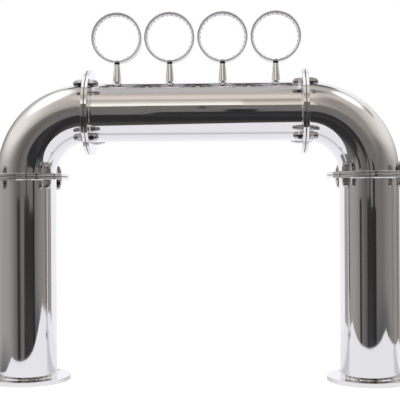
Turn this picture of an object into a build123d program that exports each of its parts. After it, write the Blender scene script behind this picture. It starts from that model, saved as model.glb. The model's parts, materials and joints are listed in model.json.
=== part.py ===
from build123d import *
import math
import os

# Beer tap tower of the bridge kind: two flanged columns, two flanged elbows and a bar
# tube, all of DN 100 pipe, with four medallion rings on stems along the top of the bar.
# Millimetres. Origin on the counter, midway between the columns. +X runs along the bar,
# -Y faces the customers, +Y the bartender, +Z is up.

# ---- pipe run -------------------------------------------------------------------------
PIPE_OD = 104.0          # DN 100 sanitary pipe
PIPE_WALL = 2.0
COLUMN_X = 302.0         # column axis, each side of the middle
BAR_Z = 472.0            # bar axis above the counter
JOINT_OFFSET = 113.4     # from the crossing of column and bar axes to each joint
ELBOW_R = 110.5          # centre-line radius of the elbows

# ---- flanges and their fasteners ------------------------------------------------------
FLANGE_OD = 150.0
FLANGE_T = 5.0
GASKET_T = 1.0
GASKET_OD = 145.0
BASE_T = 8.0
BOLT_CIRCLE = 130.0
STUD_D = 8.0
STUD_HOLE_D = 9.0
STUD_LENGTH = 32.0
WASHER_OD = 16.0
WASHER_T = 1.6
NUT_AF = 13.0            # across flats of the hexagon
NUT_HEX_H = 6.5
NUT_DOME_R = 5.9
NUT_HEIGHT = 15.0
NUT_THREAD_DEPTH = 10.5
BASE_HOLE_D = 7.0        # for M6 screws into the counter
WELD_LEG = 0.8           # fillet weld where a pipe enters its flange
EDGE_ROUND = 0.6
ELBOW_SLIP = 0.2         # radial room for the elbow's bend, which starts inside its flanges

# ---- medallion rings and stems --------------------------------------------------------
TAP_PITCH = 93.3         # stems and faucet shanks share it
RING_OD = 88.0
RING_WALL = 3.0
RING_DEPTH = 24.0
SEAT_R = 41.8            # a medallion drops into this seat from the front
SEAT_DEPTH = 3.6
RING_Z = 602.9
STRIP_T = 1.8
STRIP_WIDTH = 10.0
STRIP_FRONT_Y = -8.2      # just behind the medallion seat
CHIP_PITCH = 12.0        # degrees round the strip
CHIP_SIZE = (3.5, 5.0, 1.0)   # round the ring, along its depth, inward
STRIP_GAP = 15.0         # gap in the strip over the swivel screw
STEM_FOOT_D = 16.2
STEM_TOP_D = 10.4
STEM_NECK_D = 10.4
STEM_NECK_TOP_Z = 525.8
STEM_TOP_Z = 556.4
STEM_THREAD_D = 8.0
STEM_END_Z = 511.0
STEM_NUT_AF = 13.0
STEM_NUT_H = 5.0
BUSH_OD = 9.6
BUSH_GAP = 0.1           # bush top to ring, so that the ring turns
SCREW_D = 6.0
SCREW_BORE_D = 3.1
SCREW_RUNNING = 0.05     # radial clearance of the ring on its screw
SCREW_BOTTOM_Z = 544.0
SCREW_HEAD_D = 8.4
SCREW_HEAD_H = 1.2
SCREW_HEAD_GAP = 0.45    # head to the ring's lowest inner line

# ---- faucet shanks, on the bartender's side of the bar --------------------------------
SHANK_D = 22.9           # G 5/8 thread, modelled at its outer diameter
SHANK_BORE_D = 7.0
SHANK_IN_Y = 30.0
SHANK_OUT_Y = 74.0
SHANK_HOLE_D = 23.3
SHANK_RELIEF_D = 20.8    # thread relief between the collar and the coupling thread
SHANK_RELIEF_Y = (57.4, 59.0)
COLLAR_OD = 36.0
COLLAR_OUT_Y = 57.0
LOCK_NUT_AF = 30.0
LOCK_NUT_T = 6.0

# ---- lines held inside ----------------------------------------------------------------
BEER_LINE_D = 9.5
COOLING_LINE_D = 12.0
LED_CABLE_D = 5.0
LEAD_D = 3.0
LINE_END_Z = 3.0         # lines end just inside the foot, above the counter
FITTING_Y = 14.0         # where a beer line meets its shank's elbow fitting
FITTING_D = 17.0
FITTING_PORT = 16.0
FITTING_INSERT = 4.0     # how near the shank axis the line's end comes
PASSING_Y = -6.0         # inner taps' lines pass the outer fittings here
COOLING_Y = 2.0
COOLING_DROP = 17.0      # below the bar axis, and inward of the column axis
CABLE_RISE = 18.0        # above the bar axis, and outward of the column axis
SLEEVE_OD = 98.0
SLEEVE_ID = 66.0
SLEEVE_ENDS = (6.0, 350.0)

PIPE_R = PIPE_OD / 2
PIPE_IN_R = PIPE_R - PIPE_WALL
BAR_JOINT_X = COLUMN_X - JOINT_OFFSET
COLUMN_JOINT_Z = BAR_Z - JOINT_OFFSET
SEAM = GASKET_T / 2
TAP_X = [(i - 1.5) * TAP_PITCH for i in range(4)]
SIDES = {"left": -1, "right": 1}
BOLT_ANGLES = [45 + 90 * i for i in range(4)]
VERTICAL = (0, 0, 0)
ALONG_X = (0, 90, 0)     # turns a feature built along +Z to run along +X
ALONG_Y = (-90, 0, 0)    # and this one to run along +Y


def bar_of(radius, start, end, turn=VERTICAL, at=(0, 0, 0)):
    """Round bar from start to end along its own axis, turned, then moved."""
    body = Cylinder(radius, end - start, align=(Align.CENTER, Align.CENTER, Align.MIN))
    return Pos(*at) * Rot(*turn) * Pos(0, 0, start) * body


def pipe_of(outer_r, inner_r, start, end, turn=VERTICAL, at=(0, 0, 0)):
    return bar_of(outer_r, start, end, turn, at) - bar_of(inner_r, start - 1, end + 1, turn, at)


def hexagon(across_flats, height):
    """Hexagonal prism standing on z = 0, with its top corners turned down."""
    corner_r = across_flats / 2 / math.cos(math.pi / 6)
    prism = extrude(RegularPolygon(corner_r, 6), height)
    drop = (corner_r - across_flats / 2) * math.tan(math.radians(30))
    outline = Polyline((0, 0), (corner_r, 0), (corner_r, height - drop),
                       (across_flats / 2, height), (0, height), close=True)
    return prism & revolve(Plane.XZ * make_face(outline), Axis.Z)


def write(name, shape):
    """One file for one node; a list becomes a group of separate solids."""
    if isinstance(shape, list):
        shape = Compound(children=shape)
    export_step(shape, f"parts/{name}.step")


# ---- pipes and elbows -----------------------------------------------------------------
def elbow_body(side, radius):
    """Quarter bend of the given section radius with its two short straight ends."""
    centre = (side * (COLUMN_X - ELBOW_R), 0, BAR_Z - ELBOW_R)
    section = Plane(origin=(side * COLUMN_X, 0, centre[2]), z_dir=(0, 0, 1)) * Circle(radius)
    turn_axis = Axis(centre, (0, -side, 0))
    bend = revolve(section, turn_axis, 90)
    drop = bar_of(radius, COLUMN_JOINT_Z + SEAM, centre[2], at=(side * COLUMN_X, 0, 0))
    near, far = sorted((side * (BAR_JOINT_X + SEAM), centre[0]))
    reach = bar_of(radius, near, far, ALONG_X, (0, 0, BAR_Z))
    return bend + drop + reach


def elbow_tube(side):
    return elbow_body(side, PIPE_R) - elbow_body(side, PIPE_IN_R)


def column_tube(side):
    return pipe_of(PIPE_R, PIPE_IN_R, 0, COLUMN_JOINT_Z - SEAM, at=(side * COLUMN_X, 0, 0))


def bar_tube():
    """Bar pipe with the stem holes on top and the shank holes behind."""
    reach = BAR_JOINT_X - SEAM
    tube = pipe_of(PIPE_R, PIPE_IN_R, -reach, reach, ALONG_X, (0, 0, BAR_Z))
    for x in TAP_X:
        tube -= bar_of(STEM_THREAD_D / 2, BAR_Z, BAR_Z + PIPE_OD, at=(x, 0, 0))
        tube -= bar_of(SHANK_HOLE_D / 2, 0, PIPE_OD, ALONG_Y, (x, 0, BAR_Z))
    return tube


# ---- flanges --------------------------------------------------------------------------
def plate(thickness, hole_d, weld_side=1):
    """Flange plate from z = 0 up, bored for the pipe, with a fillet weld on one face."""
    disc = bar_of(FLANGE_OD / 2, 0, thickness)
    disc = fillet(disc.edges(), EDGE_ROUND)
    root = PIPE_R
    weld = Polyline((root - 1, thickness - 1), (root + WELD_LEG, thickness - 1),
                    (root + WELD_LEG, thickness), (root, thickness + WELD_LEG),
                    (root - 1, thickness + WELD_LEG), close=True)
    disc += revolve(Plane.XZ * make_face(weld), Axis.Z)
    for angle in BOLT_ANGLES:
        disc -= Rot(0, 0, angle) * Pos(BOLT_CIRCLE / 2, 0, 0) * bar_of(hole_d / 2, -1, thickness + 1)
    return disc


def joint_place(side, joint):
    """Frame of a joint: z runs along the pipe, away from the column's or the bar's side."""
    if joint == "column":
        return Pos(side * COLUMN_X, 0, COLUMN_JOINT_Z)
    return Pos(side * BAR_JOINT_X, 0, BAR_Z) * Rot(0, 90 * side, 0)


def joint_flange(side, joint, elbow_side):
    """Flange on the elbow's side of a joint, or on the straight pipe's side."""
    bore_r = PIPE_R + (ELBOW_SLIP if elbow_side else 0)
    blank = Pos(0, 0, SEAM) * (plate(FLANGE_T, STUD_HOLE_D) - bar_of(bore_r, -1, PIPE_OD))
    if elbow_side:
        return joint_place(side, joint) * blank
    return joint_place(side, joint) * Rot(180, 0, 0) * blank


def base_flange(side):
    blank = plate(BASE_T, BASE_HOLE_D) - bar_of(PIPE_R, -1, PIPE_OD)
    return Pos(side * COLUMN_X, 0, 0) * blank


def gasket(side, joint):
    ring = pipe_of(GASKET_OD / 2, PIPE_IN_R, -SEAM, SEAM)
    for angle in BOLT_ANGLES:
        ring -= Rot(0, 0, angle) * Pos(BOLT_CIRCLE / 2, 0, 0) * bar_of(STUD_HOLE_D / 2, -1, 1)
    return joint_place(side, joint) * ring


# ---- studs, washers and acorn nuts ----------------------------------------------------
def acorn_nut():
    """Domed cap nut standing on z = 0, with its blind thread."""
    dome_z = NUT_HEIGHT - NUT_DOME_R
    dome = bar_of(NUT_DOME_R, 0, dome_z) + Pos(0, 0, dome_z) * Sphere(NUT_DOME_R)
    blank = hexagon(NUT_AF, NUT_HEX_H) + (dome & bar_of(NUT_AF, 0, NUT_HEIGHT))
    return blank - bar_of(STUD_D / 2, -1, NUT_THREAD_DEPTH)


def fasteners():
    """Studs, washers and nuts of all four joints, each nut at its own turn."""
    stud = bar_of(STUD_D / 2, -STUD_LENGTH / 2, STUD_LENGTH / 2)
    washer = pipe_of(WASHER_OD / 2, STUD_D / 2, 0, WASHER_T)
    nut = acorn_nut()
    face = SEAM + FLANGE_T
    studs, washers, nuts = [], [], []
    for side in SIDES.values():
        for joint in ("column", "bar"):
            for angle in BOLT_ANGLES:
                place = joint_place(side, joint) * Rot(0, 0, angle) * Pos(BOLT_CIRCLE / 2, 0, 0)
                studs.append(place * stud)
                for end in (VERTICAL, (180, 0, 0)):
                    outward = place * Rot(*end)
                    washers.append(outward * Pos(0, 0, face) * washer)
                    twist = 23 * len(nuts) % 60
                    nuts.append(outward * Pos(0, 0, face + WASHER_T) * Rot(0, 0, twist) * nut)
    return studs, washers, nuts


# ---- medallion rings ------------------------------------------------------------------
RING_R = RING_OD / 2
RING_IN_R = RING_R - RING_WALL
RING_FOOT_Z = RING_Z - RING_R
HEAD_Z = RING_Z - RING_IN_R + SCREW_HEAD_GAP


def medallion_ring(x):
    half = RING_DEPTH / 2
    ring = pipe_of(RING_R, RING_IN_R, -half, half, ALONG_Y)
    ring -= bar_of(SEAT_R, -half - 1, SEAT_DEPTH - half, ALONG_Y)
    rims = [e for e in ring.edges().filter_by(GeomType.CIRCLE) if abs(abs(e.center().Y) - half) < 0.01]
    ring = fillet(rims, EDGE_ROUND)
    hole = bar_of(SCREW_D / 2 + SCREW_RUNNING, RING_FOOT_Z - 1, RING_Z, at=(x, 0, 0))
    return Pos(x, 0, RING_Z) * ring - hole


def led_strip(x):
    """Light strip round the ring's inner face, with its row of chips, broken over the swivel screw."""
    back_y = STRIP_FRONT_Y + STRIP_WIDTH
    band = pipe_of(RING_IN_R, RING_IN_R - STRIP_T, STRIP_FRONT_Y, back_y, ALONG_Y)
    band -= Pos(0, 0, -RING_R) * Box(STRIP_GAP, RING_DEPTH, RING_OD / 2)
    around, along, inward = CHIP_SIZE
    chip_r = RING_IN_R - STRIP_T - inward / 2 + 0.25
    middle_y = (STRIP_FRONT_Y + back_y) / 2
    for step in range(int(360 / CHIP_PITCH)):
        angle = 90 + CHIP_PITCH * (step + 0.5)
        if abs((angle - 270 + 180) % 360 - 180) > 2 * CHIP_PITCH:
            chip = Box(around, along, inward + 0.5)
            band += Pos(0, middle_y, 0) * Rot(0, 90 - angle, 0) * Pos(0, 0, chip_r) * chip
    return Pos(x, 0, RING_Z) * band


def medallion_stem(x):
    """Tapered stem with a neck seated on the bar and a threaded end through its wall."""
    foot, top = STEM_FOOT_D / 2, STEM_TOP_D / 2
    outline = Polyline((0, STEM_NECK_TOP_Z), (foot - 0.5, STEM_NECK_TOP_Z),
                       (foot, STEM_NECK_TOP_Z + 0.5), (top, STEM_TOP_Z), (0, STEM_TOP_Z), close=True)
    cone = revolve(Plane.XZ * make_face(outline), Axis.Z)
    neck = bar_of(STEM_NECK_D / 2, BAR_Z, STEM_NECK_TOP_Z + 1)
    neck -= bar_of(PIPE_R, -PIPE_OD, PIPE_OD, ALONG_X, (0, 0, BAR_Z))
    stem = cone + neck + bar_of(STEM_THREAD_D / 2, STEM_END_Z, STEM_NECK_TOP_Z)
    stem -= bar_of(SCREW_D / 2, SCREW_BOTTOM_Z, STEM_TOP_Z + 1)
    stem -= bar_of(SCREW_BORE_D / 2, STEM_END_Z - 1, STEM_TOP_Z)
    return Pos(x, 0, 0) * stem


def swivel_bush(x):
    return pipe_of(BUSH_OD / 2, SCREW_D / 2, STEM_TOP_Z, RING_FOOT_Z - BUSH_GAP, at=(x, 0, 0))


def swivel_screw(x):
    """Hollow screw that holds a ring on its stem and lets the light's lead through."""
    screw = bar_of(SCREW_D / 2, SCREW_BOTTOM_Z, HEAD_Z)
    screw += bar_of(SCREW_HEAD_D / 2, HEAD_Z, HEAD_Z + SCREW_HEAD_H)
    screw -= bar_of(SCREW_BORE_D / 2, 0, RING_Z)
    return Pos(x, 0, 0) * screw


def stem_nut(x):
    """Lock nut under the bar's wall."""
    corner_r = STEM_NUT_AF / 2 / math.cos(math.pi / 6)
    seat_z = BAR_Z + math.sqrt(PIPE_IN_R ** 2 - corner_r ** 2)
    nut = hexagon(STEM_NUT_AF, STEM_NUT_H) - bar_of(STEM_THREAD_D / 2, -1, STEM_NUT_H + 1)
    return Pos(x, 0, seat_z - STEM_NUT_H) * nut


# ---- faucet shanks --------------------------------------------------------------------
def faucet_shank(x):
    shank = bar_of(SHANK_D / 2, SHANK_IN_Y, SHANK_OUT_Y)
    shank = chamfer(shank.edges().sort_by(Axis.Z)[-1], 1)
    shank -= pipe_of(SHANK_D, SHANK_RELIEF_D / 2, *SHANK_RELIEF_Y)
    shank -= bar_of(SHANK_BORE_D / 2, 0, PIPE_OD)
    return Pos(x, 0, BAR_Z) * Rot(*ALONG_Y) * shank


def shank_collar(x):
    """Rosette saddled on the bar round a shank."""
    collar = fillet(bar_of(COLLAR_OD / 2, 0, COLLAR_OUT_Y).edges().sort_by(Axis.Z)[-1], 2)
    collar = Pos(x, 0, BAR_Z) * Rot(*ALONG_Y) * (collar - bar_of(SHANK_D / 2, -1, PIPE_OD))
    return collar - bar_of(PIPE_R, -PIPE_OD * 2, PIPE_OD * 2, ALONG_X, (0, 0, BAR_Z))


def shank_lock_nut(x):
    corner_r = LOCK_NUT_AF / 2 / math.cos(math.pi / 6)
    seat_y = math.sqrt(PIPE_IN_R ** 2 - corner_r ** 2)
    nut = hexagon(LOCK_NUT_AF, LOCK_NUT_T) - bar_of(SHANK_D / 2, -1, LOCK_NUT_T + 1)
    return Pos(x, seat_y - LOCK_NUT_T, BAR_Z) * Rot(*ALONG_Y) * nut


def line_fitting(x):
    """Elbow fitting on a shank's inner end, its port facing the nearer column."""
    back_y = FITTING_Y - FITTING_D / 2
    along_port = (0, -90, 0)
    port_at = (0, FITTING_Y, 0)
    body = bar_of(FITTING_D / 2, back_y, SHANK_IN_Y, ALONG_Y)
    body += bar_of(FITTING_D / 2, 0, FITTING_PORT, along_port, port_at)
    body -= bar_of(BEER_LINE_D / 2, FITTING_INSERT, FITTING_PORT + 1, along_port, port_at)
    body -= bar_of(SHANK_BORE_D / 2, FITTING_Y, SHANK_IN_Y + 1, ALONG_Y)
    return Pos(x, 0, BAR_Z) * Rot(0, 180 if x > 0 else 0, 0) * body


# ---- lines ----------------------------------------------------------------------------
def line_along(points, radii, diameter):
    """Round line on straight runs joined by tangent arcs."""
    path = FilletPolyline(*points, radius=radii)
    start = Plane(origin=path @ 0, z_dir=path % 0)
    line = sweep(start * Circle(diameter / 2), path=path)
    section = math.pi * diameter ** 2 / 4
    print(f"line {diameter} mm: length {path.length:.1f}, arcs {radii}, "
          f"volume over section x length {line.volume / (section * path.length):.5f}")
    return line


def beer_line(index):
    """Beer line up the nearer column, round the elbow and along the bar to its fitting."""
    x = TAP_X[index]
    side = 1 if x > 0 else -1
    column = side * COLUMN_X
    end = x + side * FITTING_INSERT
    if index in (0, 3):
        points = [(column, FITTING_Y, LINE_END_Z), (column, FITTING_Y, BAR_Z),
                  (end, FITTING_Y, BAR_Z)]
        return line_along(points, [ELBOW_R], BEER_LINE_D)
    # Lines to the inner taps pass in front of the outer fittings, then step back.
    step_from, step_to = x + side * 68, x + side * 28
    points = [(column, PASSING_Y, LINE_END_Z), (column, PASSING_Y, BAR_Z),
              (step_from, PASSING_Y, BAR_Z), (step_to, FITTING_Y, BAR_Z), (end, FITTING_Y, BAR_Z)]
    return line_along(points, [ELBOW_R, 45.0, 45.0], BEER_LINE_D)


def cooling_line():
    """Coolant line up one column, through the bar and down the other."""
    x, z = COLUMN_X - COOLING_DROP, BAR_Z - COOLING_DROP
    points = [(-x, COOLING_Y, LINE_END_Z), (-x, COOLING_Y, z), (x, COOLING_Y, z),
              (x, COOLING_Y, LINE_END_Z)]
    return line_along(points, [ELBOW_R - COOLING_DROP] * 2, COOLING_LINE_D)


SPLICE = (12.0, 10.0, 13.0)
CABLE_Z = BAR_Z + CABLE_RISE


def led_cable():
    x = -COLUMN_X - CABLE_RISE
    end = TAP_X[-1] + SPLICE[0] / 2
    points = [(x, 0, LINE_END_Z), (x, 0, CABLE_Z), (end, 0, CABLE_Z)]
    return line_along(points, [ELBOW_R + CABLE_RISE], LED_CABLE_D)


def led_splice(x):
    """Block that joins a ring's lead to the light cable."""
    block = Pos(x, 0, CABLE_Z) * Box(*SPLICE)
    block -= bar_of(LED_CABLE_D / 2, -SPLICE[0], SPLICE[0], ALONG_X, (x, 0, CABLE_Z))
    return block - bar_of(LEAD_D / 2, CABLE_Z, CABLE_Z + SPLICE[2], at=(x, 0, 0))


def led_lead(x):
    return bar_of(LEAD_D / 2, CABLE_Z + LED_CABLE_D / 2, HEAD_Z + SCREW_HEAD_H, at=(x, 0, 0))


def insulation_sleeve(side):
    return pipe_of(SLEEVE_OD / 2, SLEEVE_ID / 2, *SLEEVE_ENDS, at=(side * COLUMN_X, 0, 0))


# ---- write every node -----------------------------------------------------------------
for label, s in SIDES.items():
    write(f"{label}_base_flange", base_flange(s))
    write(f"{label}_column_tube", column_tube(s))
    write(f"{label}_column_top_flange", joint_flange(s, "column", elbow_side=False))
    write(f"{label}_column_gasket", gasket(s, "column"))
    write(f"{label}_elbow_lower_flange", joint_flange(s, "column", elbow_side=True))
    write(f"{label}_elbow_tube", elbow_tube(s))
    write(f"{label}_elbow_upper_flange", joint_flange(s, "bar", elbow_side=True))
    write(f"{label}_bar_gasket", gasket(s, "bar"))
    write(f"{label}_bar_flange", joint_flange(s, "bar", elbow_side=False))
    write(f"{label}_column_insulation", insulation_sleeve(s))

write("bar_tube", bar_tube())
all_studs, all_washers, all_nuts = fasteners()
write("flange_studs", all_studs)
write("flange_washers", all_washers)
write("flange_acorn_nuts", all_nuts)

for number, tap in enumerate(TAP_X, start=1):
    write(f"medallion_ring_{number}", medallion_ring(tap))
    write(f"led_strip_{number}", led_strip(tap))
    write(f"medallion_stem_{number}", medallion_stem(tap))
    write(f"faucet_shank_{number}", faucet_shank(tap))
    write(f"beer_line_{number}", beer_line(number - 1))

for name, maker in (("swivel_bushes", swivel_bush), ("swivel_screws", swivel_screw),
                    ("stem_lock_nuts", stem_nut), ("shank_collars", shank_collar),
                    ("shank_lock_nuts", shank_lock_nut), ("line_fittings", line_fitting),
                    ("led_splices", led_splice), ("led_leads", led_lead)):
    write(name, [maker(tap) for tap in TAP_X])

write("cooling_line", cooling_line())
write("led_cable", led_cable())
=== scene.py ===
import json
import math

import bpy
from mathutils import Matrix, Vector


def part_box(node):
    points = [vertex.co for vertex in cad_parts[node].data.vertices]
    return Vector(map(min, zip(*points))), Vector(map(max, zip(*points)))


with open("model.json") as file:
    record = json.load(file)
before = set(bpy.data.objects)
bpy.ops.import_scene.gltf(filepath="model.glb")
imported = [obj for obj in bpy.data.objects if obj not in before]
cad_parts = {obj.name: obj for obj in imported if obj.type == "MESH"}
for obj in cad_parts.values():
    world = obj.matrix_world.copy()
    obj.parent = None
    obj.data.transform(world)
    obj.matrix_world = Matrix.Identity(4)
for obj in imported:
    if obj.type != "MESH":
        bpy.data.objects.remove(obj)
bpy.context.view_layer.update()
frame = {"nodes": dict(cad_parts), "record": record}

NODES = frame["nodes"]
SCENE = bpy.context.scene
MM = 0.001
FULL_TURN, HALF_TURN = 360, 180
DEGREES = HALF_TURN / math.pi
WHITE = (1.0, 1.0, 1.0)

# ---------------------------------------------------------------------------- camera
# The viewpoint is level, a little right of the tower's middle, and turned slightly left.
CAMERA_AT = Vector((0.0687, -1.6451, 0.3179))
CAMERA_YAW = 0.0384
CAMERA_PITCH = -0.0008
CAMERA_ROLL = -0.0054
LENS_MM = 84.0
SENSOR_MM = 36.0
CLIP_NEAR = 0.05
CLIP_FAR = 60.0


def make_camera():
    data = bpy.data.cameras.new("camera")
    data.lens = LENS_MM
    data.sensor_width = SENSOR_MM
    data.clip_start = CLIP_NEAR
    data.clip_end = CLIP_FAR
    cam = bpy.data.objects.new("camera", data)
    SCENE.collection.objects.link(cam)
    turn = (Matrix.Rotation(CAMERA_YAW, 4, "Z")
            @ Matrix.Rotation(math.pi / 2 + CAMERA_PITCH, 4, "X")
            @ Matrix.Rotation(CAMERA_ROLL, 4, "Z"))
    cam.matrix_world = Matrix.Translation(CAMERA_AT) @ turn
    SCENE.camera = cam


# ---------------------------------------------------------------------- shader helpers
class Graph:
    """Small helper that adds and links shader nodes."""

    def __init__(self, tree):
        self.tree = tree
        tree.nodes.clear()

    def feed(self, socket, value):
        """Link a socket to another one, or set its value."""
        if isinstance(value, bpy.types.NodeSocket):
            self.tree.links.new(value, socket)
        else:
            socket.default_value = value

    def add(self, kind, inputs=None, **attrs):
        node = self.tree.nodes.new(kind)
        for name, value in attrs.items():
            setattr(node, name, value)
        for key, value in (inputs or {}).items():
            self.feed(node.inputs[key], value)
        return node

    def math(self, op, a, b=0.0, c=0.0):
        return self.add("ShaderNodeMath", {0: a, 1: b, 2: c}, operation=op).outputs[0]

    def hypot(self, a, b):
        square = self.math("ADD", self.math("MULTIPLY", a, a), self.math("MULTIPLY", b, b))
        return self.math("SQRT", square)

    def mix(self, factor, a, b, blend="MIX"):
        """Mix two colours. Inputs 0, 6 and 7 are the factor and the colour pair."""
        node = self.add("ShaderNodeMix", data_type="RGBA", blend_type=blend)
        for key, value in ((0, factor), (6, a), (7, b)):
            self.feed(node.inputs[key], value)
        return node.outputs[2]

    def ramp(self, factor, stops, smooth=False):
        """Colour ramp through stops, each a place and a grey level or a colour."""
        node = self.add("ShaderNodeValToRGB", {0: factor})
        node.color_ramp.interpolation = "EASE" if smooth else "LINEAR"
        elements = node.color_ramp.elements
        while len(elements) > 1:
            elements.remove(elements[-1])
        for i, (at, value) in enumerate(stops):
            stop = elements[0] if i == 0 else elements.new(at)
            stop.position = at
            stop.color = value if isinstance(value, tuple) else (value, value, value, 1)
        return node.outputs[0]

    def share(self, value, low, high):
        """How far a value lies on the way from low to high, kept within 0 and 1."""
        return self.add("ShaderNodeMapRange", {0: value, 1: low, 2: high}).outputs[0]

    def noise(self, vector, scale, detail=2.0, rough=0.5, distortion=0.0):
        node = self.add("ShaderNodeTexNoise", {"Vector": vector, "Scale": scale, "Detail": detail,
                                               "Roughness": rough, "Distortion": distortion})
        return node.outputs[0]

    def bump(self, height, strength, distance):
        node = self.add("ShaderNodeBump", {"Height": height, "Strength": strength, "Distance": distance})
        return node.outputs[0]

    def glow(self, color):
        return self.add("ShaderNodeEmission", {"Color": color, "Strength": 1.0}).outputs[0]


def rgba(color, level=1.0):
    """A colour times a level, as the four numbers that a colour socket takes."""
    return tuple(level * c for c in color) + (1,)


def material(name, build):
    mat = bpy.data.materials.new(name)
    mat.use_nodes = True
    g = Graph(mat.node_tree)
    out = g.add("ShaderNodeOutputMaterial")
    g.feed(out.inputs["Surface"], build(g))
    return mat


def object_coords(g, stretch=(1, 1, 1)):
    coords = g.add("ShaderNodeTexCoord")
    return g.add("ShaderNodeMapping", {"Vector": coords.outputs["Object"], "Scale": stretch}).outputs[0]


def object_axes(g):
    """The object's x, y and z as three sockets."""
    return g.add("ShaderNodeSeparateXYZ", {0: object_coords(g)}).outputs


# --------------------------------------------------------------------------- materials
STEEL = (0.80, 0.788, 0.785)
FASTENER_STEEL = (0.48, 0.465, 0.45)
SHANK_STEEL = (0.70, 0.69, 0.67)
STEM_STEEL = (0.875, 0.87, 0.865)
RING_FACE, RING_FACE_DULL = (0.94, 0.93, 0.935), (0.90, 0.89, 0.895)
# The outer wall's colour is much darker than the faces: painted shade where neighbouring rings face each
# other.
RING_WALL_SHADED, RING_OUTSIDE_ROUGH = (0.50, 0.49, 0.495), 0.05
SILICONE, SILICONE_DULL = (0.80, 0.78, 0.84), (0.70, 0.68, 0.74)
RESISTOR = (0.16, 0.14, 0.15)
COPPER = (0.78, 0.45, 0.30)
CHIP = (0.74, 0.70, 0.70)
RUBBER = (0.02, 0.02, 0.02)
BLACK_PLASTIC = (0.012, 0.012, 0.012)
GREY_PLASTIC = (0.03, 0.032, 0.035)
CREAM_PLASTIC = (0.6, 0.58, 0.52)
BLUE_PLASTIC = (0.03, 0.09, 0.28)
CLEAR_PLASTIC = (0.7, 0.72, 0.7)

RING_LOW, RING_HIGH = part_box("medallion_ring_1")
RING_RADIUS = (RING_HIGH[0] - RING_LOW[0]) / 2
RING_MID_Z = (RING_LOW[2] + RING_HIGH[2]) / 2
RING_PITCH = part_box("medallion_ring_2")[0][0] - RING_LOW[0]
# Where the outer wall starts: from here the steel is polished and also painted darker, as shade between the
# rings.
RING_POLISH_AND_SHADE_FROM, RING_POLISH_AND_SHADE_TO = RING_RADIUS - 0.7 * MM, RING_RADIUS - 0.3 * MM
CHIP_RADIUS = 39.0 * MM
STRIP_FACE_RADIUS = CHIP_RADIUS + 0.5 * MM
CHIP_PITCH_DEG = 12
RESISTOR_HALF_DEG = 1.7
CUT_MARK_HALF_DEG = 3.0


def smears(g, low, high):
    """Roughness that drifts between two values, as on steel polished by hand."""
    pattern = g.noise(object_coords(g), scale=14.0, detail=4.0, rough=0.6, distortion=0.4)
    return g.ramp(pattern, [(0.3, low), (0.75, high)])


def polished(color, rough=0.035, haze=0.05):
    """Mirror-polished steel: faint smears, a slight drift of tint and a slow wobble."""
    def build(g):
        at = object_coords(g)
        tint = g.mix(g.noise(at, scale=5.0, detail=3.0), rgba(color), rgba(color, 0.96))
        wobble = g.bump(g.noise(at, scale=9.0, detail=1.0), strength=1.0, distance=0.4 * MM)
        return g.add("ShaderNodeBsdfPrincipled",
                     {"Base Color": tint, "Metallic": 1.0, "Roughness": smears(g, rough, rough + haze),
                      "Normal": wobble}).outputs[0]
    return build


def moulded(color, rough=0.45, depth=0.06 * MM, grain_scale=900.0):
    """Moulded or extruded plastic, rubber and foam: fine grain and a drift of tint."""
    def build(g):
        at = object_coords(g)
        tint = g.mix(g.noise(at, scale=60.0, detail=3.0), rgba(color), rgba(color, 0.8))
        grain = g.bump(g.noise(at, grain_scale), strength=0.6, distance=depth)
        spread = g.ramp(g.noise(at, scale=35.0), [(0.3, rough - 0.06), (0.7, rough + 0.06)])
        return g.add("ShaderNodeBsdfPrincipled",
                     {"Base Color": tint, "Roughness": spread, "Normal": grain}).outputs[0]
    return build


def turned(color):
    """Steel turned in a lathe: fine grooves round the axis draw highlights out along it."""
    def build(g):
        grooves = g.noise(object_coords(g, stretch=(0.02, 0.02, 1)), scale=2600.0, detail=3.0, rough=0.6)
        drift = g.noise(object_coords(g), scale=30.0, detail=3.0)
        shader = g.add("ShaderNodeBsdfPrincipled",
                       {"Base Color": g.mix(drift, rgba(color), rgba(color, 0.93)), "Metallic": 1.0,
                        "Roughness": g.ramp(grooves, [(0.3, 0.11), (0.7, 0.15)]),
                        "Normal": g.bump(grooves, strength=0.15, distance=0.02 * MM)})
        shader.inputs["Anisotropic"].default_value = 0.9
        around = g.add("ShaderNodeTangent", direction_type="RADIAL", axis="Z")
        g.feed(shader.inputs["Tangent"], around.outputs[0])
        return shader.outputs[0]
    return build


def about_ring(g):
    """Distance from the nearest ring's axis, and the angle round it in degrees."""
    at = object_axes(g)
    across = g.math("SUBTRACT", g.math("FLOORED_MODULO", at[0], RING_PITCH), RING_PITCH / 2)
    up = g.math("SUBTRACT", at[2], RING_MID_Z)
    return g.hypot(across, up), g.math("MULTIPLY", g.math("ARCTAN2", across, up), DEGREES)


def ring_metal(g):
    """Ring with a satin front and bore and a mirror-polished outer wall, which is painted darker as shade
    between neighbouring rings.
    """
    radius, _ = about_ring(g)
    wall = g.share(radius, RING_POLISH_AND_SHADE_FROM, RING_POLISH_AND_SHADE_TO)
    rough = g.mix(wall, smears(g, 0.26, 0.34), rgba(WHITE, RING_OUTSIDE_ROUGH))
    drift = g.noise(object_coords(g), scale=5.0, detail=3.0)
    face = g.mix(drift, rgba(RING_FACE), rgba(RING_FACE_DULL))
    # The outer wall takes the darker colour: painted shade between neighbouring rings.
    tint = g.mix(wall, face, rgba(RING_WALL_SHADED))
    return g.add("ShaderNodeBsdfPrincipled",
                 {"Base Color": tint, "Metallic": 1.0, "Roughness": rough}).outputs[0]


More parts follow.
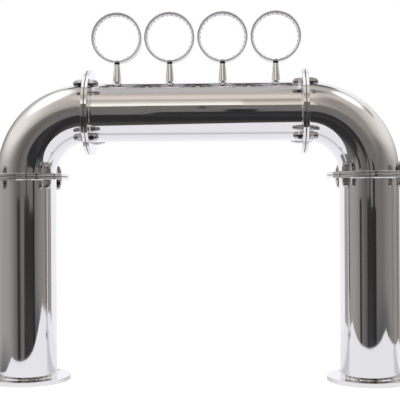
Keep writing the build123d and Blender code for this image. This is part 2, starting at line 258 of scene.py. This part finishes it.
def light_strip(g):
    """Light strip: milky silicone with pale chips, dark resistors and copper cut marks."""
    radius, turn = about_ring(g)

    def mark(pitch, first, half_width):
        """1 on marks that repeat at a pitch from the first one, all in degrees."""
        place = g.math("FLOORED_MODULO", g.math("ADD", turn, FULL_TURN + pitch / 2 - first), pitch)
        away = g.math("ABSOLUTE", g.math("SUBTRACT", place, pitch / 2))
        return g.math("LESS_THAN", away, half_width)

    at = object_coords(g)
    on_face = g.math("LESS_THAN", radius, STRIP_FACE_RADIUS)
    on_chip = g.math("LESS_THAN", radius, CHIP_RADIUS)
    every_second = mark(2 * CHIP_PITCH_DEG, 0.5 * CHIP_PITCH_DEG, RESISTOR_HALF_DEG)
    every_sixth = mark(6 * CHIP_PITCH_DEG, 1.5 * CHIP_PITCH_DEG, CUT_MARK_HALF_DEG)
    resistors = g.math("MULTIPLY", on_face, every_second)
    cut_marks = g.math("MULTIPLY", on_face, every_sixth)
    tint = g.mix(g.noise(at, scale=220.0), rgba(SILICONE), rgba(SILICONE_DULL))
    tint = g.mix(resistors, tint, rgba(RESISTOR))
    tint = g.mix(cut_marks, tint, rgba(COPPER))
    tint = g.mix(on_chip, tint, rgba(CHIP))
    grain = g.bump(g.noise(at, scale=900.0), strength=0.5, distance=0.04 * MM)
    return g.add("ShaderNodeBsdfPrincipled",
                 {"Base Color": tint, "Roughness": 0.35, "Normal": grain}).outputs[0]


LOOKS = {
    "polished_steel": polished(STEEL),
    "ring_steel": ring_metal,
    "fastener_steel": polished(FASTENER_STEEL, rough=0.02, haze=0.03),
    "shank_steel": polished(SHANK_STEEL, rough=0.18, haze=0.1),
    "gasket_rubber": moulded(RUBBER, rough=0.6),
    "bush_nylon": moulded(BLACK_PLASTIC, rough=0.4),
    "strip_silicone": light_strip,
    "fitting_plastic": moulded(GREY_PLASTIC, rough=0.4),
    "splice_plastic": moulded(CREAM_PLASTIC),
    "cable_black": moulded(BLACK_PLASTIC),
    "cooling_line_blue": moulded(BLUE_PLASTIC, rough=0.35),
    "beer_line_plastic": moulded(CLEAR_PLASTIC, rough=0.3),
    "insulation_foam": moulded(RUBBER, rough=0.85, depth=0.4 * MM, grain_scale=500.0),
    "turned_steel": turned(STEM_STEEL),
}
MATERIALS = {name: material(name, build) for name, build in LOOKS.items()}


def dress_nodes():
    """Give each CAD node the look of its material slot, and the stems a turned finish."""
    for part in frame["record"]["subparts"]:
        is_stem = part["node"].startswith("medallion_stem_")
        look = "turned_steel" if is_stem else part["material_slot"]
        obj = NODES[part["node"]]
        obj.data.materials.clear()
        obj.data.materials.append(MATERIALS[look])


# ------------------------------------------------------------------------------- stage
# The steel is a mirror, so the stage is mostly boards that show only in its reflections.
# Places are in metres. Levels are brightness, with 1 as white, and multiply a tint.
COOL = (0.98, 0.99, 1.045)
WARM = (1.09, 1.0, 0.91)
NEUTRAL = (1.045, 1.0, 0.965)
DIM = (1.0, 1.0, 1.03)
PALE = (1.02, 1.0, 0.995)
BLUISH = (0.98, 1.0, 1.12)
WALL_TINT = (1.0, 1.0, 1.06)
GLOW_DRIFT = 0.03

FLOOR_HALF = 8.0
FLOOR_GLOW = 0.78
FLOOR_COLOR = (0.35, 0.35, 0.36)

# Table top: its outline in x and y, and the shade that the tower casts between two y's.
TABLE_Z = -0.4 * MM
TABLE_OUTLINE = [(-0.478, 0.34), (-0.432, 0.012), (-0.449, -0.057), (-0.508, -0.125),
                 (-0.552, -0.228), (-0.24, -0.325), (0.10, -0.428), (0.384, -0.476),
                 (0.744, -0.484), (0.904, -0.45), (0.764, 0.10), (0.74, 0.34)]
TABLE_SHADE = 0.70
TABLE_SHADE_FRONT, TABLE_SHADE_REAR = -0.05, 0.11

# Backdrop and what is above it: each part's left and right end, and its level or, in pairs,
# heights and the levels there.
BACKDROP_Y = 0.34
BACKDROP_TOP = 1.05
BACKDROP_ENDS = (-0.437, 0.425)
BACKDROP_LEVEL = 1.06
RAIL_Y = 0.342
RAIL_TOP = 1.36
RAIL_ENDS = {"left": (-0.50, -0.33), "right": (0.27, 0.50)}
RAIL_LEVEL = 0.11
GAP_TOP = 1.5
GAP_ENDS = {"left": (-0.33, -0.245), "right": (0.215, 0.27)}
GAP_LEVEL = 0.95
SLOT_Y = 0.335
SLOT_ENDS = (-0.232, 0.203)
SLOT_LEVELS = [(0.85, 0.06), (1.1, 0.065), (1.22, 0.14), (1.36, 0.20)]

# Window panes: name, left and right end, share of the window's level, and tint.
WINDOW_Y = -1.75
WINDOW_FOOT, WINDOW_TOP = 1.07, 1.95
WINDOW_LEVELS = [(1.07, 1.15), (1.25, 1.18), (1.36, 1.06), (1.50, 0.88), (1.67, 0.68), (1.90, 0.52)]
WINDOW_PANES = (
    ("soft_window", -0.52, 0.10, 1.0, (1.05, 1.0, 0.93)),
    ("soft_window_dim", 0.10, 0.42, 0.70, (1.11, 1.0, 0.87)),
)

# Strip lamps: side, middle in x and half the width.
STRIP_LAMPS = (("left", -0.284, 0.017), ("right", 0.231, 0.012))
STRIP_LAMP_Z = 1.1
STRIP_LAMP_FRONT, STRIP_LAMP_REAR = -0.30, 0.21
STRIP_LAMP_LEVEL = 1.25

# Dark boards behind and beside the camera: name, both ends in x and y, foot, top, and look.
DARK_FOOT = -0.8
WALL_TOP = 0.325
WALL_CORNER = (0.29, -1.56)
WALL_END_AT_FOOT, WALL_END_AT_TOP = (-0.38, -2.048), (-0.225, -1.935)
DARK_BOARDS = (
    ("dark_wall_right", WALL_CORNER, (0.683, -1.174), DARK_FOOT, 0.29, "wall"),
    ("dark_post_near", (0.42, -1.06), (0.53, -0.98), DARK_FOOT, 0.42, "post"),
    ("dark_post_far", (0.03, -2.12), (0.15, -2.12), DARK_FOOT, 0.62, "post"),
    ("dark_cabinet", (-0.916, -1.262), (-0.618, -1.265), DARK_FOOT, 0.32, "cabinet"),
    ("lamp_arm", (-0.26, -1.5), (0.10, -1.5), 0.955, 1.0, "post"),
    ("lamp_pole", (-0.05, -1.5), (-0.03, -1.5), 0.62, 0.955, "post"),
)
WALL_LEVELS = [(DARK_FOOT, 0.03), (-0.3, 0.034), (-0.15, 0.05), (0.02, 0.04), (0.17, 0.034),
               (0.27, 0.034), (WALL_TOP, 0.055)]
POST_LEVEL = 0.026
CABINET_LEVEL = 0.045


def emitter(name, level, tint=WHITE):
    """Plain glow with a slight unevenness, so that it doesn't look flat."""
    def build(g):
        patches = g.noise(object_coords(g), scale=1.5, detail=1.0)
        low, high = level * (1 - GLOW_DRIFT), level * (1 + GLOW_DRIFT)
        return g.glow(g.ramp(patches, [(0.2, rgba(tint, low)), (0.8, rgba(tint, high))]))
    return material(name, build)


def shaded(name, levels, low, high, tint):
    """Glow whose level changes with height, from low to high."""
    def build(g):
        share = g.share(object_axes(g)[2], low, high)
        return g.glow(g.ramp(share, [((z - low) / (high - low), rgba(tint, level)) for z, level in levels]))
    return material(name, build)


def table_white(g):
    """White table with the tower's own soft shade along it."""
    share = g.share(object_axes(g)[1], TABLE_SHADE_FRONT, TABLE_SHADE_REAR)
    shade = g.ramp(share, [(0.0, 1.0), (0.4, TABLE_SHADE), (0.6, TABLE_SHADE), (1.0, 1.0)], smooth=True)
    return g.glow(g.mix(1.0, shade, rgba(COOL), blend="MULTIPLY"))


def floor_white(g):
    """Floor that glows almost white and still takes a little shadow."""
    glow = g.add("ShaderNodeEmission", {"Color": rgba(WHITE), "Strength": FLOOR_GLOW})
    paint = g.add("ShaderNodeBsdfDiffuse", {"Color": rgba(FLOOR_COLOR)})
    return g.add("ShaderNodeAddShader", {0: glow.outputs[0], 1: paint.outputs[0]}).outputs[0]


def board(name, corners, mat, seen=False, reflected=True):
    """Flat stage board; most are only seen reflected in the steel."""
    mesh = bpy.data.meshes.new(name)
    mesh.from_pydata(corners, [], [tuple(range(len(corners)))])
    obj = bpy.data.objects.new(name, mesh)
    SCENE.collection.objects.link(obj)
    mesh.materials.append(mat)
    obj.visible_camera = seen
    obj.visible_diffuse = seen
    obj.visible_glossy = reflected
    obj.visible_shadow = False
    obj.visible_transmission = False
    return obj


def upright(start, end, foot, top):
    """Corners of an upright board between two places in x and y."""
    return [(*start, foot), (*end, foot), (*end, top), (*start, top)]


def facing(ends, y, foot, top):
    """Corners of an upright board that faces the tower's front or back."""
    left, right = ends
    return upright((left, y), (right, y), foot, top)


def lying(x0, y0, x1, y1, z):
    """Corners of a level board."""
    return [(x0, y0, z), (x1, y0, z), (x1, y1, z), (x0, y1, z)]


def make_floor():
    corners = lying(-FLOOR_HALF, -FLOOR_HALF, FLOOR_HALF, FLOOR_HALF, 0)
    floor = board("floor", corners, material("floor_white", floor_white), seen=True, reflected=False)
    floor.visible_shadow = True


def make_table():
    """White table top under the tower. It stands askew, and the columns mirror its edges."""
    board("table_top", [(x, y, TABLE_Z) for x, y in TABLE_OUTLINE], material("table_white", table_white))


def make_backdrop():
    """White backdrop with a dark slot, and a dark rail above it that bright gaps break."""
    board("backdrop", facing(BACKDROP_ENDS, BACKDROP_Y, 0.0, BACKDROP_TOP),
          emitter("backdrop_white", BACKDROP_LEVEL, COOL))
    rail = emitter("rail_dark", RAIL_LEVEL)
    for side, ends in RAIL_ENDS.items():
        board("backdrop_rail_" + side, facing(ends, RAIL_Y, BACKDROP_TOP, RAIL_TOP), rail)
    gap = emitter("gap_white", GAP_LEVEL, COOL)
    for side, ends in GAP_ENDS.items():
        board("backdrop_gap_" + side, facing(ends, RAIL_Y, BACKDROP_TOP, GAP_TOP), gap)
    foot, top = SLOT_LEVELS[0][0], SLOT_LEVELS[-1][0]
    board("backdrop_slot", facing(SLOT_ENDS, SLOT_Y, foot, top),
          shaded("slot_dark", SLOT_LEVELS, foot, top, DIM))


def make_window():
    """Lit window above the camera, fading upwards, with a dimmer pane on its right."""
    for name, left, right, share, tint in WINDOW_PANES:
        levels = [(z, level * share) for z, level in WINDOW_LEVELS]
        board(name, facing((left, right), WINDOW_Y, WINDOW_FOOT, WINDOW_TOP),
              shaded(name, levels, WINDOW_FOOT, WINDOW_TOP, tint))


def make_strip_lamps():
    """Narrow lamps overhead, each in line with a bar flange, that whiten its rim."""
    glow = emitter("strip_lamp", STRIP_LAMP_LEVEL, COOL)
    for side, middle, half in STRIP_LAMPS:
        corners = lying(middle - half, STRIP_LAMP_FRONT, middle + half, STRIP_LAMP_REAR, STRIP_LAMP_Z)
        board("strip_lamp_" + side, corners, glow)


def make_dark_front():
    """Dark things behind and beside the camera that give the steel its deep bands."""
    looks = {
        "wall": shaded("wall_dark", WALL_LEVELS, DARK_FOOT, WALL_TOP, WALL_TINT),
        "post": emitter("post_dark", POST_LEVEL, DIM),
        "cabinet": emitter("cabinet_dark", CABINET_LEVEL),
    }
    board("dark_wall_left", [(*WALL_END_AT_FOOT, DARK_FOOT), (*WALL_CORNER, DARK_FOOT),
                             (*WALL_CORNER, WALL_TOP), (*WALL_END_AT_TOP, WALL_TOP)], looks["wall"])
    for name, start, end, foot, top, look in DARK_BOARDS:
        board(name, upright(start, end, foot, top), looks[look])


def make_stage():
    make_floor()
    make_table()
    make_backdrop()
    make_window()
    make_strip_lamps()
    make_dark_front()


# ------------------------------------------------------------------------------- world
# The room beyond the boards, as the steel mirrors it. Directions are in degrees: azimuth 0
# is the camera's side, -Y, and 90 is +X, and elevation 0 is level. Each pair below is a
# direction and the room's level there.
WALLS_BY_AZIMUTH = ((-180, 0.34), (-115, 0.42), (-93, 0.38), (-65, 0.36), (-51, 0.29), (-34, 0.18),
                    (-19, 0.12), (-8, 0.18), (44, 0.18), (60, 0.25), (80, 0.30), (90, 0.25),
                    (112, 0.36), (120, 0.22), (140, 0.30), (160, 0.36), (180, 0.34))
BELOW_BY_AZIMUTH = ((-180, 0.40), (-115, 0.26), (-90, 0.20), (-62, 0.17), (-46, 0.08), (-32, 0.035),
                    (45, 0.035), (62, 0.09), (80, 0.34), (180, 0.40))
BELOW_BY_ELEVATION = ((-54, 0.095), (-48, 0.07), (-36, 0.03))
ABOVE_BY_ELEVATION = ((10, 0.18), (18, 0.20), (24, 0.42), (38, 0.52), (44, 0.52), (60, 0.66),
                      (75, 0.46), (90, 0.44))

# Elevations between which one stretch of the room fades into the next.
BELOW_TO_WALLS = (-15, -11)
WALLS_TO_ABOVE = (6, 20)

# Soft patches over that room: the middle's azimuth and elevation, half the width and height,
# level, softness and tint. Later ones cover earlier.
ROOM_PATCHES = (
    (0, 90, 720, 18, 0.58, 0.6, PALE),        # pale ceiling overhead
    (-2, 53, 26, 9, 0.78, 0.6, WARM),         # light ceiling panel in front
    (-88, 31, 52, 24, 0.95, 1.0, NEUTRAL),    # lit wall on the left
    (-95, 57, 44, 18, 1.40, 0.5, COOL),       # large left lamp
    (125, 30, 66, 25, 0.92, 1.0, NEUTRAL),    # lit wall on the right
    (98, 58, 26, 12, 1.35, 0.35, COOL),       # right lamp
    (150, 62, 22, 9, 0.35, 0.5, NEUTRAL),     # dark rail above the right rear lamp
    (148, 42, 17, 10, 1.10, 0.4, COOL),       # right rear lamp
    (110, 41, 12, 5, 0.45, 0.6, NEUTRAL),     # dark edge under the right lamp
    (30, 34, 20, 24, 0.32, 0.7, WARM),        # dark corner on the right
    (45, 77, 28, 9, 0.24, 0.8, WARM),         # dark ceiling beam
    (-130, 28, 14, 9, 0.57, 0.8, NEUTRAL),    # gap between wall and backdrop on the left
    (-90, -12, 48, 3.5, 0.17, 0.8, BLUISH),   # skirting on the left
    (45, -11, 45, 5, 0.11, 0.7, DIM),         # dark skirting on the right
)

# A fully soft patch fades over these shares of its size inside and outside its edge.
FADE_INSIDE, FADE_OUTSIDE = 0.7, 0.35

MATT_ROOM = (0.85, 0.85, 0.86)


def room_patch(g, azimuth, elevation, patch, room):
    """The room with a patch laid over it, which fades out round the patch's edge."""
    at_azimuth, at_elevation, half_width, half_height, level, soft, tint = patch
    across = g.math("DIVIDE", g.math("SUBTRACT", azimuth, at_azimuth), half_width)
    along = g.math("DIVIDE", g.math("SUBTRACT", elevation, at_elevation), half_height)
    cover = g.add("ShaderNodeMapRange", {0: g.hypot(across, along), 1: 1 - FADE_INSIDE * soft,
                                         2: 1 + FADE_OUTSIDE * soft, 3: 1.0, 4: 0.0},
                  interpolation_type="SMOOTHSTEP").outputs[0]
    return g.mix(cover, room, rgba(tint, level))


def make_world():
    """White to the camera, pale to matt surfaces, and the room to mirrors."""
    world = bpy.data.worlds.new("studio")
    SCENE.world = world
    world.use_nodes = True
    g = Graph(world.node_tree)
    out = g.add("ShaderNodeOutputWorld")
    direction = g.add("ShaderNodeTexCoord").outputs["Generated"]
    xyz = g.add("ShaderNodeSeparateXYZ", {0: direction}).outputs
    ahead = g.math("MULTIPLY", xyz[1], -1.0)
    elevation = g.math("MULTIPLY", g.math("ARCSINE", xyz[2]), DEGREES)
    azimuth = g.math("MULTIPLY", g.math("ARCTAN2", xyz[0], ahead), DEGREES)
    rise = g.math("MULTIPLY_ADD", elevation, 1 / HALF_TURN, 0.5)
    swing = g.math("MULTIPLY_ADD", azimuth, 1 / FULL_TURN, 0.5)

    def by_azimuth(levels, tint):
        return g.ramp(swing, [(at / FULL_TURN + 0.5, rgba(tint, level)) for at, level in levels])

    def by_elevation(levels, tint):
        return g.ramp(rise, [(at / HALF_TURN + 0.5, rgba(tint, level)) for at, level in levels])

    def above_edge(edge):
        """0 below a soft edge between two elevations, and 1 above it."""
        return g.ramp(rise, [(at / HALF_TURN + 0.5, level) for at, level in zip(edge, (0.0, 1.0))])

    walls = by_azimuth(WALLS_BY_AZIMUTH, NEUTRAL)
    above = by_elevation(ABOVE_BY_ELEVATION, WARM)
    below = g.mix(1.0, by_azimuth(BELOW_BY_AZIMUTH, DIM), by_elevation(BELOW_BY_ELEVATION, WARM),
                  blend="LIGHTEN")
    room = g.mix(above_edge(BELOW_TO_WALLS), below, walls)
    room = g.mix(above_edge(WALLS_TO_ABOVE), room, above)
    for patch in ROOM_PATCHES:
        room = room_patch(g, azimuth, elevation, patch, room)
    ray = g.add("ShaderNodeLightPath").outputs
    seen = g.mix(ray["Is Glossy Ray"], rgba(MATT_ROOM), room)
    seen = g.mix(ray["Is Camera Ray"], seen, rgba(WHITE))
    back = g.add("ShaderNodeBackground", {"Color": seen, "Strength": 1.0})
    g.feed(out.inputs["Surface"], back.outputs[0])


# ------------------------------------------------------------------------------ lights
# Name, place in metres and power in watts.
LIGHTS = (("key_soft", (-0.9, -1.4, 2.2), 12.0), ("fill_soft", (1.2, -1.0, 1.8), 6.0))
LIGHT_SIZE = 1.2
LIGHTS_AIM = Vector((0, 0, 0.3))


def make_lights():
    """Soft square lights for matt surfaces; mirrors see the room instead."""
    for name, at, watts in LIGHTS:
        data = bpy.data.lights.new(name, "AREA")
        data.shape = "SQUARE"
        data.size = LIGHT_SIZE
        data.energy = watts
        lamp = bpy.data.objects.new(name, data)
        SCENE.collection.objects.link(lamp)
        lamp.location = at
        lamp.rotation_mode = "QUATERNION"
        lamp.rotation_quaternion = (Vector(at) - LIGHTS_AIM).to_track_quat("Z", "Y")
        lamp.visible_glossy = False


make_camera()
dress_nodes()
make_stage()
make_world()
make_lights()
SCENE.view_settings.view_transform = "Standard"
SCENE.view_settings.look = "None"
